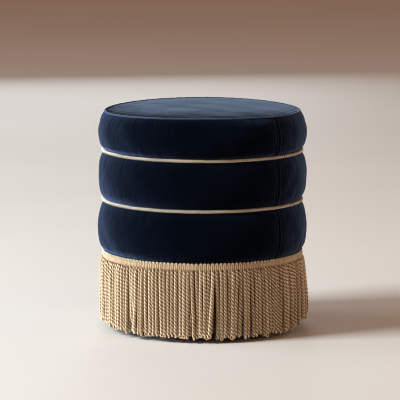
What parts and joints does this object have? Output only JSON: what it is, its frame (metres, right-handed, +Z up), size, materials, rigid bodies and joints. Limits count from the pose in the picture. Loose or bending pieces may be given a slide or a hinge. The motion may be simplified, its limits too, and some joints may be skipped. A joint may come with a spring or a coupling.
{
  "type": "tuffet",
  "caption": "Round upholstered tuffet with stacked padded velvet rolls, rope trims in the grooves, a long bullion fringe and short dark feet under a wooden drum.",
  "frame": {"origin": "centre of the stool on the floor, at the underside of the foot glides", "axes": "+Z up; the pictured front faces -Y and +X is to the right of it, so the visible side seam is at +X -Y"},
  "size_m": [0.4338, 0.4338, 0.459],
  "materials": {
    "velvet": "matte",
    "cream_cord": "satin",
    "gimp": "satin",
    "bullion": "satin",
    "foam": "matte",
    "plywood": "matte",
    "post_wood": "matte",
    "hardboard": "matte",
    "dark_lining": "matte",
    "dust_cloth": "matte",
    "staple_wire": "satin",
    "dark_foot": "satin",
    "zinc_steel": "satin",
    "glide_plastic": "matte"
  },
  "bodies": {
    "root": {"seat_top_panel": "velvet", "upper_velvet_band": "velvet", "middle_velvet_band": "velvet", "lower_velvet_band": "velvet", "seat_welt": "velvet", "upper_rope_trim": "cream_cord", "lower_rope_trim": "cream_cord", "fringe_header": "gimp", "header_bead_edge": "gimp", "bullion_fringe": "bullion", "seat_foam": "foam", "middle_foam_roll": "foam", "lower_foam_roll": "foam", "top_board": "plywood", "middle_hoop": "plywood", "lower_hoop": "plywood", "base_board": "plywood", "post_right": "post_wood", "post_back": "post_wood", "post_left": "post_wood", "post_front": "post_wood", "upper_drum_panel": "hardboard", "middle_drum_panel": "hardboard", "base_drum_panel": "hardboard", "base_lining": "dark_lining", "dust_cover": "dust_cloth", "dust_cover_staples": "staple_wire", "foot_front_right": "dark_foot", "foot_back_right": "dark_foot", "foot_back_left": "dark_foot", "foot_front_left": "dark_foot", "hanger_bolts": "zinc_steel", "tee_nuts": "zinc_steel", "top_board_screws": "zinc_steel", "base_board_screws": "zinc_steel", "hoop_screws": "zinc_steel", "foot_glides": "glide_plastic"}
  },
  "joints": []
}
